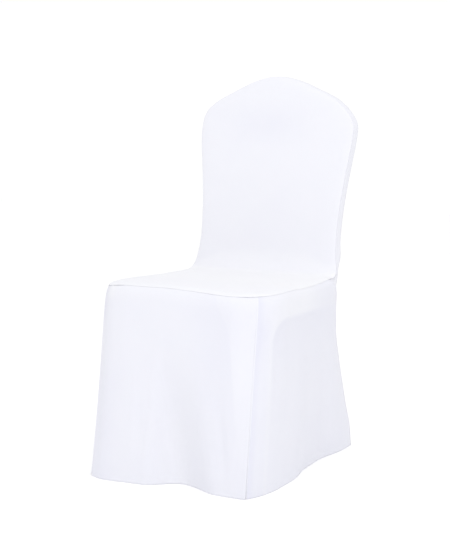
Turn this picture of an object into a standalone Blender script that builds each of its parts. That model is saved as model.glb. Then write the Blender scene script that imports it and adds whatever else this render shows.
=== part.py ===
"""A fitted cloth cover for a banquet chair, in the shape it has when it is on the chair.

Metres, +Z up. The cover faces -Y, and +X is to the viewer's right. The origin is on the floor,
under the middle of the cover's footprint. The cover is hollow: the chair goes in from below.
"""
import math

import bmesh
import bpy
import numpy as np

# Cloth
THICKNESS = 0.0015
HEM_CLEARANCE = 0.002
SHARP_ANGLE = math.radians(50.0)

# Seams: a sheet's edge is tucked in behind its neighbour's, a little more where the seam turns up
SEAM_GAP = 0.0005
TUCK = THICKNESS + SEAM_GAP
BUTT_GAP = 0.0015
TURN_TUCK = 0.0011
TURN_TUCK_REACH = 0.04
SLOPE_STEP = 0.004

# The seat's own frame has its origin between the chair's legs: the footprint's middle lies here in it
FOOTPRINT_CENTRE = (-0.0156, 0.0442)

# Seat: half widths, front seam and the radius of the front corners, seen from above
SEAT_FRONT_HALF = 0.2256
SEAT_REAR_HALF = 0.2100
SEAT_FRONT_Y = -0.2142
SEAT_REAR_Y = 0.1764
SEAT_CORNER_RADIUS = 0.085
SEAT_CORNER_SHARES = (0.0, 0.28, 0.6, 1.0)
SEAT_CROWN = 0.005
SEAT_ROLL_LENGTH = 0.013
SEAT_BOW_LENGTH = 0.20

# Back: its front plane leans back from this depth at seat height
BACK_FOOT_Y = 0.1937
BACK_FOOT_Z = 0.45
BACK_LEAN = 0.162
BACK_DEPTH = 0.0265
BACK_ROLL = 0.004
BACK_ROLL_LENGTH = 0.010
CROWN_BOW_LENGTH = 0.28

# The back stands up behind the seat between these depths
UPRIGHT_START_Y = 0.10
UPRIGHT_LENGTH = 0.09

# Soft hollow of the inside back: depth, height of its middle, half height, half width as a share
HOLLOW_DEPTH = 0.005
HOLLOW_Z = 0.85
HOLLOW_HALF_Z = 0.10
HOLLOW_HALF_SHARE = 0.75

# The cloth bridges the corner between seat and back: depth, middle height, half height and start
BRIDGE = 0.0105
BRIDGE_Z = 0.485
BRIDGE_HALF_Z = 0.065
BRIDGE_START_Y = 0.06
BRIDGE_START_LENGTH = 0.08

# The crown sits a little to the left of the chair's middle, from this height up
CROWN_SHIFT = -0.010
CROWN_SHIFT_Z = 0.82
CROWN_SHIFT_LENGTH = 0.06

# Outside back: a swell over the chair's frame, a dip below the seat and the height where it starts to flare
OUTSIDE_SWELL = 0.003
OUTSIDE_SWELL_START = 0.03
OUTSIDE_DIP = 0.012
OUTSIDE_DIP_Z = 0.22
FLARE_Z = 0.42

# Skirt
PLEAT_ANGLE = math.radians(43.0)
PLEAT_DEPTH = 0.042
LAYER_GAP = (0.0014, 0.0050)
SLOT_HALF = 0.0004
SIDE_ROLL = 0.006
SHOULDER_OUT = 0.009
SHOULDER_DROP = 0.008
SHOULDER_FADE = 0.10
FALL_POWER = 1.1
FOLD_FADE = 0.3
REAR_JOIN_SHARE = 0.45
REAR_JOIN_START = 0.02
LAYER_STEP = 0.002

# The side's cloth sinks in between the chair's front leg and its seat rail
ARCH_DEPTH = 0.008
ARCH_RADIUS = 0.055
ARCH_EDGE = 0.022
ARCH_FADE = 0.2
ARCH_LEG_Y = -0.168
ARCH_RAIL_Z = 0.396

# Seat seam along the front: x, height
FRONT_SEAM = (
    (-0.200, 0.4490),
    (-0.158, 0.4550),
    (-0.080, 0.4560),
    (-0.020, 0.4560),
    (0.067, 0.4515),
    (0.134, 0.4475),
    (0.200, 0.4470),
)

# Seat seam along the sides: y, height on the right, height on the left
SIDE_SEAM = (
    (-0.195, 0.4470, 0.4490),
    (-0.160, 0.4485, 0.4505),
    (-0.129, 0.4500, 0.4520),
    (-0.077, 0.4510, 0.4540),
    (-0.003, 0.4490, 0.4540),
    (0.048, 0.4500, 0.4535),
    (0.101, 0.4530, 0.4550),
    (0.133, 0.4560, 0.4555),
)

# Where the seat's side seam turns up into the back's edge: half width, y, z
TURN_UP = (
    (0.2110, 0.1500, 0.4570),
    (0.2100, 0.1720, 0.4585),
    (0.2080, 0.1870, 0.4660),
    (0.2045, 0.1950, 0.4790),
    (0.1995, 0.1995, 0.5010),
)

# Outline of the back from the waist up to the shoulder: half width, z
BACK_SIDE = (
    (0.1962, 0.540),
    (0.1972, 0.600),
    (0.2030, 0.670),
    (0.2115, 0.735),
    (0.2185, 0.790),
    (0.2195, 0.825),
    (0.2120, 0.850),
    (0.1960, 0.8735),
)

# Outline of the crown from the shoulder to the middle: half width, z
CROWN = (
    (0.1960, 0.8735),
    (0.1720, 0.8920),
    (0.1435, 0.9070),
    (0.1175, 0.9185),
    (0.0940, 0.9290),
    (0.0710, 0.9385),
    (0.0470, 0.9460),
    (0.0250, 0.9507),
    (0.0000, 0.9525),
)

# Lower end of the boxing strip, below the seat seam: half width, y, z
GUSSET = (
    (0.2110, 0.1500, 0.4545),
    (0.2045, 0.1770, 0.4345),
    (0.1965, 0.1960, 0.4175),
    (0.1885, 0.2130, 0.4022),
    (0.1870, 0.2180, 0.3980),
)

# Rear corner of the cover below the boxing's end: half width, y, z
REAR_CORNER = (
    (0.1960, 0.2245, 0.4750),
    (0.1955, 0.2205, 0.4500),
    (0.1905, 0.2200, 0.4200),
    (0.1870, 0.2225, 0.3900),
    (0.1860, 0.2310, 0.3500),
    (0.1855, 0.2400, 0.3000),
    (0.1850, 0.2580, 0.2400),
    (0.1840, 0.2800, 0.1800),
    (0.1820, 0.3050, 0.1200),
    (0.1815, 0.3310, 0.0600),
    (0.1810, 0.3430, 0.0020),
)

# Hem of the front panel from the left pleat to the right one: x, y, height
FRONT_HEM = (
    (-0.206, -0.2470, 0.001),
    (-0.180, -0.2545, 0.000),
    (-0.150, -0.2520, 0.001),
    (-0.100, -0.2460, 0.002),
    (-0.045, -0.2400, 0.002),
    (0.020, -0.2350, 0.003),
    (0.085, -0.2310, 0.002),
    (0.140, -0.2280, 0.001),
    (0.168, -0.2265, 0.000),
    (0.187, -0.2260, 0.000),
)

# Hem of the right side from the pleat to the rear corner: x, y
RIGHT_HEM = (
    (0.1940, -0.2000),
    (0.1985, -0.1900),
    (0.2055, -0.1700),
    (0.2110, -0.1380),
    (0.2105, -0.0950),
    (0.2040, -0.0120),
    (0.1870, 0.0560),
    (0.1790, 0.1250),
    (0.1760, 0.1700),
    (0.1775, 0.1980),
    (0.1830, 0.2400),
    (0.1850, 0.2850),
    (0.1820, 0.3280),
    (0.1810, 0.3411),
)

# Hem of the left side in the same order: x, y
LEFT_HEM = (
    (-0.2490, -0.2100),
    (-0.2590, -0.1990),
    (-0.2650, -0.1810),
    (-0.2635, -0.1460),
    (-0.2530, -0.0900),
    (-0.2390, -0.0120),
    (-0.2260, 0.0560),
    (-0.2140, 0.1250),
    (-0.2040, 0.1700),
    (-0.1980, 0.2000),
    (-0.1920, 0.2400),
    (-0.1870, 0.2850),
    (-0.1820, 0.3280),
    (-0.1810, 0.3411),
)

# Folds of the front panel: place at the top and at the hem, where it starts, where it ends,
# depth inwards, half width to the left and to the right, all as shares of the panel but the depth
FRONT_FOLDS = (
    (0.43, 0.525, 0.18, 1.60, 0.046, 0.13, 0.21),
    (0.28, 0.300, 0.15, 0.90, 0.007, 0.08, 0.07),
    (0.38, 0.370, 0.10, 0.95, -0.004, 0.06, 0.06),
    (0.78, 0.800, 0.35, 1.00, 0.004, 0.05, 0.05),
)

# Flutes of the outside back near the hem: place across, depth, half width, as shares of half the width
BACK_FLUTES = (
    (-0.55, 0.008, 0.30),
    (0.05, 0.011, 0.38),
    (0.60, 0.007, 0.28),
)

# Grid counts: across the panels, along each stretch of their edges, and round the skirt
PANEL_COLUMNS = 18
SEAT_ROWS = 12
TURN_ROWS = 6
BACK_ROWS = 14
GUSSET_ROWS = 4
BOXING_COLUMNS = 3
FRONT_COLUMNS = 22
SIDE_COLUMNS = 12
PLEAT_COLUMNS = 3
CONVEX_STEPS = 4
CONCAVE_STEPS = 3
SKIRT_ROWS = 11
SKIRT_ROW_POWER = 1.6
SEAT_ROW_POWER = 1.25
EDGE_CLOSENESS = 1.42
FINE_STOPS = np.linspace(0.0, 1.0, 4001)

CLOTH_COLOUR = (0.86, 0.86, 0.92, 1.0)
CLOTH_ROUGHNESS = 0.85


def ease(t):
    """A smooth step from 0 to 1."""
    t = np.clip(t, 0.0, 1.0)
    return t * t * (3.0 - 2.0 * t)


def bell(t):
    """A smooth bump of height 1 that is 0 at -1 and 1."""
    return ease(1.0 - np.abs(t))


def rolled(distance, length):
    """How far a padded surface has risen at a distance from its edge, from 0 to 1."""
    return 1.0 - np.exp(-distance / length)


def shares(rows):
    """How far along a run of points each one lies, from 0 to 1."""
    steps = np.linalg.norm(np.diff(np.asarray(rows, float), axis=0), axis=1)
    run = np.concatenate([[0.0], np.cumsum(steps)])
    return run / run[-1]


def spline(knots, rows, at):
    """A cubic curve through the rows, each with the slope of its neighbours."""
    rows = np.asarray(rows, float)
    slopes = np.gradient(rows, knots, axis=0)
    i = np.clip(np.searchsorted(knots, at, side="right") - 1, 0, len(knots) - 2)
    span = (knots[i + 1] - knots[i])[..., None]
    s = (at[..., None] - knots[i][..., None]) / span
    ends = (1 + 2 * s) * (1 - s) ** 2 * rows[i] + s * s * (3 - 2 * s) * rows[i + 1]
    bends = s * (1 - s) ** 2 * slopes[i] - s * s * (1 - s) * slopes[i + 1]
    return ends + bends * span


def back_plane_y(z):
    """Depth of the back's front seam at a height."""
    return BACK_FOOT_Y + BACK_LEAN * (z - BACK_FOOT_Z)


def corner_point(angle):
    """Half width and y of the seat seam's rounded corner, at an angle from the front."""
    half = SEAT_FRONT_HALF - SEAT_CORNER_RADIUS * (1.0 - math.sin(angle))
    y = SEAT_FRONT_Y + SEAT_CORNER_RADIUS * (1.0 - math.cos(angle))
    return half, y


def side_seam_rows(side, start_angle):
    """Seat seam from the front corner's pleat to where it turns up: rows of x, y, z."""
    heights = np.array(SIDE_SEAM)
    column = 1 if side > 0 else 2
    turn = 0.5 * math.pi - start_angle
    plan = [corner_point(start_angle + turn * share) for share in SEAT_CORNER_SHARES]
    narrowing = (SEAT_REAR_HALF - SEAT_FRONT_HALF) / (SEAT_REAR_Y - SEAT_FRONT_Y - SEAT_CORNER_RADIUS)
    straight_start = SEAT_FRONT_Y + SEAT_CORNER_RADIUS
    for y in heights[len(SEAT_CORNER_SHARES) - 1:, 0]:
        plan.append((SEAT_FRONT_HALF + narrowing * (y - straight_start), y))
    return [(side * half, y, float(np.interp(y, heights[:, 0], heights[:, column]))) for half, y in plan]


def front_seam_point(share, start_angle, end_angle):
    """Point of the seat's front seam, from the left corner's angle to the right corner's."""
    flat = 2.0 * (SEAT_FRONT_HALF - SEAT_CORNER_RADIUS)
    length = SEAT_CORNER_RADIUS * (start_angle + end_angle) + flat
    run = np.asarray(share) * length - SEAT_CORNER_RADIUS * start_angle - 0.5 * flat
    past = np.maximum(np.abs(run) - 0.5 * flat, 0.0) / SEAT_CORNER_RADIUS
    x = np.sign(run) * (np.minimum(np.abs(run), 0.5 * flat) + SEAT_CORNER_RADIUS * np.sin(past))
    y = SEAT_FRONT_Y + SEAT_CORNER_RADIUS * (1.0 - np.cos(past))
    seam = np.array(FRONT_SEAM)
    z = spline(seam[:, 0], seam[:, 1:], x)[..., 0]
    return np.stack([x, y, z], axis=-1)


def lean_aside(points):
    """Shifts the crown a little sideways, as it sits on the chair."""
    points[..., 0] += CROWN_SHIFT * ease((points[..., 2] - CROWN_SHIFT_Z) / CROWN_SHIFT_LENGTH)
    return points


def crown_curve(share):
    """Top outline on the front plane, from the left shoulder at 0 to the right one at 1."""
    right = np.array(CROWN)
    rows = np.concatenate([right * (-1.0, 1.0), right[-2::-1]])
    outline = spline(shares(rows), rows, np.asarray(share))
    return np.stack([outline[..., 0], back_plane_y(outline[..., 1]), outline[..., 1]], axis=-1)


def panel_edge_rows(side):
    """Edge of the seat and inside back, from the front corner up to the shoulder: x, y, z."""
    rows = side_seam_rows(side, PLEAT_ANGLE)
    rows += [(side * half, y, z) for half, y, z in TURN_UP]
    rows += [(side * half, back_plane_y(z), z) for half, z in BACK_SIDE]
    return np.array(rows)


def seat_and_back(u, v):
    """The sheet between its four edges, with the seat's crown and the back's hollow added.

    u runs across from -1 to 1 and v from the front seam at 0 to the crown at 1.
    """
    right = panel_edge_rows(1)
    left = panel_edge_rows(-1)
    knots = shares(right)
    r = spline(knots, right, v)
    l = spline(knots, left, v)
    share = 0.5 * (u + 1.0)

    def across(a, b):
        return a + (b - a) * share[..., None]

    front = front_seam_point(share, PLEAT_ANGLE, PLEAT_ANGLE)
    crown = crown_curve(share)
    front_bow = front - across(left[0], right[0])
    crown_bow = crown - across(left[-1], right[-1])
    length = np.linalg.norm(np.diff(right, axis=0), axis=1).sum()
    point = across(l, r)
    point = point + front_bow * ease(1.0 - v * length / SEAT_BOW_LENGTH)[..., None]
    point = point + crown_bow * ease(1.0 - (1.0 - v) * length / CROWN_BOW_LENGTH)[..., None]

    half = 0.5 * np.abs(r[..., 0] - l[..., 0])
    from_side = (1.0 - np.abs(u)) * half
    from_front = v * length
    from_crown = (1.0 - v) * length
    upright = ease((point[..., 1] - UPRIGHT_START_Y) / UPRIGHT_LENGTH)
    seat_rise = rolled(from_side, SEAT_ROLL_LENGTH) * rolled(from_front, SEAT_ROLL_LENGTH)
    back_rise = rolled(from_side, BACK_ROLL_LENGTH) * rolled(from_crown, BACK_ROLL_LENGTH)
    hollow = HOLLOW_DEPTH * bell(u / HOLLOW_HALF_SHARE) * bell((point[..., 2] - HOLLOW_Z) / HOLLOW_HALF_Z)
    bridge = BRIDGE * (1.0 - u * u) * bell((point[..., 2] - BRIDGE_Z) / BRIDGE_HALF_Z)
    bridge = bridge * ease((point[..., 1] - BRIDGE_START_Y) / BRIDGE_START_LENGTH)
    point[..., 2] += SEAT_CROWN * seat_rise * (1.0 - upright) + bridge
    point[..., 1] += hollow - BACK_ROLL * back_rise * upright - bridge
    return point


def outside_edge_rows():
    """Right edge of the outside back, from the shoulder to the hem: x, y, z."""
    rows = [(half, back_plane_y(z) + BACK_DEPTH, z) for half, z in BACK_SIDE[::-1]]
    half, _, z = TURN_UP[-1]
    rows += [(half, back_plane_y(z) + BACK_DEPTH, z)]
    rows += list(REAR_CORNER)
    return np.array(rows)


def outside_edge_at(z):
    """Half width and y of the outside back's edge at a height."""
    rows = outside_edge_rows()
    edge = spline(shares(rows), rows, FINE_STOPS)[::-1]
    return np.interp(z, edge[:, 2], edge[:, 0]), np.interp(z, edge[:, 2], edge[:, 1])


def outside_back(u, v):
    """Plain sheet from the crown at v = 0 to the hem at v = 1, fluted a little near the hem."""
    right = outside_edge_rows()
    edge = spline(shares(right), right, v)
    crown = crown_curve(0.5 * (u + 1.0))
    crown[..., 1] += BACK_DEPTH
    length = np.linalg.norm(np.diff(right, axis=0), axis=1).sum()
    widen = np.stack([u, np.ones_like(u), np.ones_like(u)], axis=-1)
    point = edge * widen
    point = point + (crown - right[0] * widen) * ease(1.0 - v * length / CROWN_BOW_LENGTH)[..., None]
    low = ease((FLARE_Z - point[..., 2]) / FLARE_Z)
    middle = 1.0 - u ** 4
    point[..., 1] += OUTSIDE_SWELL * middle * (1.0 - low) * ease(v * length / OUTSIDE_SWELL_START)
    point[..., 1] -= OUTSIDE_DIP * middle * bell((point[..., 2] - OUTSIDE_DIP_Z) / OUTSIDE_DIP_Z)
    for place, depth, half in BACK_FLUTES:
        point[..., 1] -= depth * bell((u - place) / half) * low ** 1.5
    return point


def across_stops():
    """Places of the columns across the inside and the outside back, closer near the edges."""
    return np.sin(EDGE_CLOSENESS * np.linspace(-1.0, 1.0, PANEL_COLUMNS + 1)) / math.sin(EDGE_CLOSENESS)


def skirt_stops():
    """Places of the skirt's rows, from the hem at 1 up to the seam at 0 and closer near the seam."""
    return np.linspace(1.0, 0.0, SKIRT_ROWS + 1) ** SKIRT_ROW_POWER


def seat_stops():
    """Places of the rows of the seat and inside back: seat, turn up, back."""
    knots = shares(panel_edge_rows(1))
    turn_start = knots[len(side_seam_rows(1, PLEAT_ANGLE))]
    turn_end = knots[-len(BACK_SIDE) - 1]
    seat = turn_start * np.linspace(0.0, 1.0, SEAT_ROWS + 1) ** SEAT_ROW_POWER
    turn = np.linspace(turn_start, turn_end, TURN_ROWS + 1)
    back = np.linspace(turn_end, 1.0, BACK_ROWS + 1)
    return np.concatenate([seat, turn[1:], back[1:]])


def outside_stops():
    """Places of the rows of the outside back: level with the inside back's rows, then down to the hem."""
    rows = outside_edge_rows()
    inside = seat_and_back(np.ones(BACK_ROWS + 1), seat_stops()[-BACK_ROWS - 1:])[::-1, 2]
    low = np.linspace(inside[-1], GUSSET[-2][2] + BUTT_GAP, TURN_ROWS + GUSSET_ROWS + 1)
    hem = GUSSET[-1][2] + (HEM_CLEARANCE - GUSSET[-1][2]) * skirt_stops()[::-1]
    wanted = np.concatenate([inside, low[1:], hem])
    height = spline(shares(rows), rows, FINE_STOPS)[:, 2]
    stops = np.interp(-wanted, -height, FINE_STOPS)
    stops[0] = 0.0
    stops[-1] = 1.0
    return stops


def boxing_edges():
    """Front and rear edge of the boxing's right half, from the crown's middle to its lower end.

    Both follow the rows and columns of the panels that they are sewn to, tucked in by the cloth's thickness.
    """
    columns = across_stops()[PANEL_COLUMNS // 2:]
    level = np.ones(len(columns))
    rows = seat_stops()[::-1][:BACK_ROWS + TURN_ROWS + 1]
    front_crown = seat_and_back(columns, level) + (0.0, TUCK, 0.0)
    side = np.ones(len(rows))
    front_side = seat_and_back(side, rows)
    ahead = seat_and_back(side, rows - SLOPE_STEP) - seat_and_back(side, rows + SLOPE_STEP)
    ahead /= np.linalg.norm(ahead[:, 1:], axis=1, keepdims=True)
    tuck = TUCK + TURN_TUCK * bell((front_side[:, 1] - TURN_UP[1][1]) / TURN_TUCK_REACH)
    front_side[:, 1] -= tuck * ahead[:, 2]
    front_side[:, 2] += tuck * ahead[:, 1]
    gusset = np.array(GUSSET)
    front_side[-1] = gusset[0] + (0.0, 2.0 * BUTT_GAP, 0.0)
    end = gusset[:-1]
    seam = spline(shares(end), end, np.linspace(0.0, 1.0, GUSSET_ROWS + 1)[1:])
    front = np.concatenate([front_crown, front_side[1:], seam + (0.0, BUTT_GAP, BUTT_GAP)])
    rear_rows = outside_stops()[:BACK_ROWS + TURN_ROWS + GUSSET_ROWS + 1]
    rear_crown = outside_back(columns, 0.0 * level)
    rear_side = outside_back(np.ones(len(rear_rows)), rear_rows)
    rear = np.concatenate([rear_crown, rear_side[1:]]) - (0.0, TUCK, 0.0)
    return front, rear


def boxing(u, v):
    """Strip between the two back seams: u from the rear seam at 0 to the front one at 1.

    v counts its rows from the crown's middle down to each end, negative on the left.
    """
    front, rear = boxing_edges()
    row = np.abs(v).astype(int)
    point = rear[row] + (front[row] - rear[row]) * u[..., None]
    point[..., 0] *= np.where(v < 0, -1.0, 1.0)
    return point


def slot_angles(side_edge):
    """Angles round the corner where the front panel and the side panel turn in at the pleat."""
    fold = THICKNESS + 0.5 * LAYER_GAP[0] + SLOT_HALF
    if side_edge:
        return PLEAT_ANGLE + (SIDE_ROLL + SLOT_HALF) / SEAT_CORNER_RADIUS
    return PLEAT_ANGLE - fold / SEAT_CORNER_RADIUS


def skirt_rows(panel):
    """Seam rows and hem rows of one skirt panel, in the order of the path from left rear to right rear."""
    if panel == "front":
        angle = slot_angles(False)
        count = len(FRONT_HEM)
        seam = front_seam_point(np.linspace(0.0, 1.0, count), angle, angle)
        return seam - (0.0, 0.0, TUCK), np.array(FRONT_HEM) + (0.0, 0.0, HEM_CLEARANCE)
    side = 1 if panel == "right" else -1
    seam = side_seam_rows(side, slot_angles(True)) + [(side * half, y, z) for half, y, z in GUSSET]
    seam = np.array(seam)
    seam[:, 2] -= TUCK * (seam[:, 1] < GUSSET[0][1])
    plan = np.array(RIGHT_HEM if side > 0 else LEFT_HEM)
    hem = np.column_stack([plan, np.full(len(plan), HEM_CLEARANCE)])
    if side > 0:
        return seam, hem
    return seam[::-1], hem[::-1]


def hanging(panel, t, h):
    """Outer surface of a skirt panel, t along its seam and h from the seam at 0 to the hem at 1.

    The cloth swells out over the seat's edge, then drops to its hem, with folds and the arch of the rails.
    """
    seam_rows, hem_rows = skirt_rows(panel)
    knots = shares(seam_rows)
    seam = spline(knots, seam_rows, t)
    ahead = spline(knots, seam_rows, t + SLOPE_STEP) - spline(knots, seam_rows, t - SLOPE_STEP)
    outward = np.stack([ahead[..., 1], -ahead[..., 0], np.zeros_like(t)], axis=-1)
    outward = outward / np.linalg.norm(outward, axis=-1, keepdims=True)
    hem = spline(knots, hem_rows, t)
    fall = h ** FALL_POWER
    point = seam + (hem - seam) * np.stack([fall, fall, h], axis=-1)
    below = seam[..., 2] - point[..., 2]
    swell = SHOULDER_OUT * rolled(below, SHOULDER_DROP) * (1.0 - h)
    inward = np.zeros_like(h)
    if panel == "front":
        for top, low, start, end, depth, left, right in FRONT_FOLDS:
            offset = t - (top + (low - top) * h)
            width = np.where(offset < 0.0, left, right)
            grown = ease((h - start) / (1.0 - start)) * ease((end - h) / FOLD_FADE)
            inward = inward + depth * bell(offset / width) * grown
    else:
        end = t if panel == "right" else 1.0 - t
        swell = swell * ease((1.0 - end) / SHOULDER_FADE)
        from_leg = point[..., 1] - ARCH_LEG_Y
        from_rail = ARCH_RAIL_Z - point[..., 2]
        corner = np.hypot(np.maximum(ARCH_RADIUS - from_leg, 0.0), np.maximum(ARCH_RADIUS - from_rail, 0.0))
        inside = ease((ARCH_RADIUS - corner) / ARCH_EDGE)
        inward = ARCH_DEPTH * inside * (1.0 - h) * ease((1.0 - end) / ARCH_FADE)
        half, y = outside_edge_at(point[..., 2])
        side = 1.0 if panel == "right" else -1.0
        rear_edge = np.stack([side * half, y - TUCK, point[..., 2]], axis=-1)
        edge_seam = seam_rows[-1] if side > 0 else seam_rows[0]
        edge_hem = hem_rows[-1] if side > 0 else hem_rows[0]
        edge = edge_seam + (edge_hem - edge_seam) * np.stack([fall, fall, h], axis=-1)
        shift = (rear_edge - edge) * (1.0, 1.0, 0.0)
        joined = ease((end - 1.0 + REAR_JOIN_SHARE) / REAR_JOIN_SHARE) * ease(h / REAR_JOIN_START)
        point = point + shift * joined[..., None]
    return point + outward * (swell - inward)[..., None]


def hung_layer(panel, t, h, along, depth):
    """A point of the skirt at a distance along its panel and a depth behind its outer surface."""
    ahead = hanging(panel, t + LAYER_STEP, h) - hanging(panel, t - LAYER_STEP, h)
    high = np.maximum(h - LAYER_STEP, 0.0)
    down = hanging(panel, t, high + 2.0 * LAYER_STEP) - hanging(panel, t, high)
    ahead = ahead / np.linalg.norm(ahead, axis=-1, keepdims=True)
    outward = np.cross(down, ahead)
    outward = outward / np.linalg.norm(outward, axis=-1, keepdims=True)
    return hanging(panel, t, h) + ahead * along[..., None] - outward * depth[..., None]


def skirt_columns():
    """Path of the skirt seen from above: panel, place along it, sideways and inward parts of each point.

    The sideways part is in units of the fold's radius or the side's roll, and the inward part is
    counted in convex and concave radii, so that the layers open towards the hem.
    """
    columns = []
    depth_share = {name: PLEAT_DEPTH / np.linalg.norm(np.diff(skirt_rows(name)[0], axis=0), axis=1).sum()
                   for name in ("front", "right", "left")}

    def run(panel, start, end, count, convex, concave):
        for t in np.linspace(start, end, count + 1):
            columns.append((panel, t, 0.0, 0.0, 0.0, convex, concave))

    def turn(panel, t, steps, fold, roll, inner, convex, concave, convex_turn, concave_turn):
        for k in range(1, steps):
            angle = math.pi * k / steps
            bulge = math.sin(angle)
            share = 0.5 * (1.0 - math.cos(angle))
            columns.append((panel, t, fold * bulge, roll * bulge, inner * bulge,
                            convex + convex_turn * share, concave + concave_turn * share))

    def pleat_in(panel, edge, way):
        """From the outer face of a panel back behind it, to the middle of the underlay."""
        back = edge - way * depth_share[panel]
        fold, roll = (way, 0.0) if panel == "front" else (0.0, way)
        turn(panel, edge, CONVEX_STEPS, fold, roll, 0.0, 0.0, 0.0, 1.0, 0.0)
        run(panel, edge, back, PLEAT_COLUMNS, 1.0, 0.0)
        turn(panel, back, CONCAVE_STEPS, 0.0, 0.0, -way, 1.0, 0.0, 0.0, 1.0)
        run(panel, back, edge, PLEAT_COLUMNS, 1.0, 1.0)

    def pleat_out(panel, edge, way):
        """The same run the other way round, from the underlay's middle out to the panel's face."""
        start = len(columns)
        pleat_in(panel, edge, way)
        columns[start:] = columns[start:][::-1]

    run("left", 0.0, 1.0, SIDE_COLUMNS, 0.0, 0.0)
    pleat_in("left", 1.0, 1.0)
    pleat_out("front", 0.0, -1.0)
    run("front", 0.0, 1.0, FRONT_COLUMNS, 0.0, 0.0)
    pleat_in("front", 1.0, 1.0)
    pleat_out("right", 0.0, -1.0)
    run("right", 0.0, 1.0, SIDE_COLUMNS, 0.0, 0.0)
    return columns


def skirt(u, v):
    """The pleated strip that hangs from the seat seam: u counts its columns, v runs from seam to hem."""
    columns = skirt_columns()
    index = u.astype(int)
    numbers = np.array([row[1:] for row in columns])[index]
    t, fold, roll, inner, convex, concave = np.moveaxis(numbers, -1, 0)
    gap = LAYER_GAP[0] + (LAYER_GAP[1] - LAYER_GAP[0]) * v
    convex_radius = THICKNESS + 0.5 * gap
    along = fold * convex_radius + roll * SIDE_ROLL + inner * 0.5 * gap
    depth = convex * 2.0 * convex_radius + concave * gap
    names = np.array([row[0] for row in columns])[index]
    point = np.zeros(u.shape + (3,))
    for panel in ("left", "front", "right"):
        here = names == panel
        point[here] = hung_layer(panel, t[here], v[here], along[here], depth[here])
    return point


def cloth_material(name):
    """White stretch cloth with a faint cool tint."""
    material = bpy.data.materials.new(name)
    material.use_nodes = True
    shader = material.node_tree.nodes["Principled BSDF"]
    shader.inputs["Base Color"].default_value = CLOTH_COLOUR
    shader.inputs["Roughness"].default_value = CLOTH_ROUGHNESS
    shader.inputs["Metallic"].default_value = 0.0
    material.diffuse_color = CLOTH_COLOUR
    return material


def sheet(name, surface, across, along, collection):
    """A grid moved onto a surface, one point for each pair of stops, with its thickness inwards."""
    cage = bmesh.new()
    bmesh.ops.create_grid(cage, x_segments=len(across) - 1, y_segments=len(along) - 1, size=0.5)
    flat = np.array([vert.co[:2] for vert in cage.verts]) + 0.5
    column = np.rint(flat[:, 0] * (len(across) - 1)).astype(int)
    row = np.rint(flat[:, 1] * (len(along) - 1)).astype(int)
    moved = lean_aside(surface(across[column], along[row])) - (*FOOTPRINT_CENTRE, 0.0)
    for vert, place in zip(cage.verts, moved):
        vert.co = place
    mesh = bpy.data.meshes.new(name)
    cage.to_mesh(mesh)
    cage.free()
    mesh.shade_smooth()
    mesh.set_sharp_from_angle(angle=SHARP_ANGLE)
    mesh.materials.append(cloth_material(name + "_cloth"))
    piece = bpy.data.objects.new(name, mesh)
    collection.objects.link(piece)
    solid = piece.modifiers.new("thickness", "SOLIDIFY")
    solid.thickness = THICKNESS
    solid.offset = -1.0
    return piece


def main():
    """Clears the file and builds the four cloth pieces."""
    for old in list(bpy.data.objects):
        bpy.data.objects.remove(old, do_unlink=True)
    cover = bpy.data.collections.new("chair_cover")
    bpy.context.scene.collection.children.link(cover)
    sheet("back_seat_panel", seat_and_back, across_stops(), seat_stops(), cover)
    sheet("outside_back", outside_back, across_stops(), outside_stops(), cover)
    last_row = len(boxing_edges()[0]) - 1
    across = np.linspace(0.0, 1.0, BOXING_COLUMNS + 1)
    sheet("back_boxing", boxing, across, np.arange(-last_row, last_row + 1), cover)
    sheet("skirt", skirt, np.arange(len(skirt_columns())), skirt_stops(), cover)


main()
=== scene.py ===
# %% [markdown]
# # A fitted stretch cover for a banquet chair
# The real cover is four pieces of white knit: one sheet that is seat and inside back, a narrow
# boxing round the back's edge, a plain outside back and a pleated skirt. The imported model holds
# the same four pieces as simple solids. Here each one becomes a fine sheet of cloth.

# %% Load the frame
import math
import bpy
import numpy as np
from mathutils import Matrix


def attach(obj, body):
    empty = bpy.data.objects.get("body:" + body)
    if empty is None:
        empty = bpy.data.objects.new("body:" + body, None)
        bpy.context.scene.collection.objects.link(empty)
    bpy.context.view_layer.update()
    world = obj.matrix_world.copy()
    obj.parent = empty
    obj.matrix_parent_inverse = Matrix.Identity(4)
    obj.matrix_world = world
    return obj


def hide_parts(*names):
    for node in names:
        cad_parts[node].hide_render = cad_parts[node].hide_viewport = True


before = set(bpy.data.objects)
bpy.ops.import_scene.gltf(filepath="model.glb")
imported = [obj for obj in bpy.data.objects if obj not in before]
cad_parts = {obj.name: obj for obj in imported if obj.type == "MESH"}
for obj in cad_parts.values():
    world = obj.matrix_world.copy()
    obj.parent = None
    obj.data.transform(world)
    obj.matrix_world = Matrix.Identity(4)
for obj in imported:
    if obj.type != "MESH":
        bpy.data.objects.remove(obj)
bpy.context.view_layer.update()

# %% [markdown]
# ## The camera
# The photograph was taken 2.8 m away, a little above the seat, 31 degrees to the right of the
# front. A long lens keeps the back's edges nearly parallel. The cover's measures below are taken
# from a point between the chair's legs, so that point's place in the model is needed first.

# %% Camera
def placed(name, data):
    """A new object with this data, in the scene."""
    thing = bpy.data.objects.new(name, data)
    bpy.context.scene.collection.objects.link(thing)
    return thing


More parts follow.
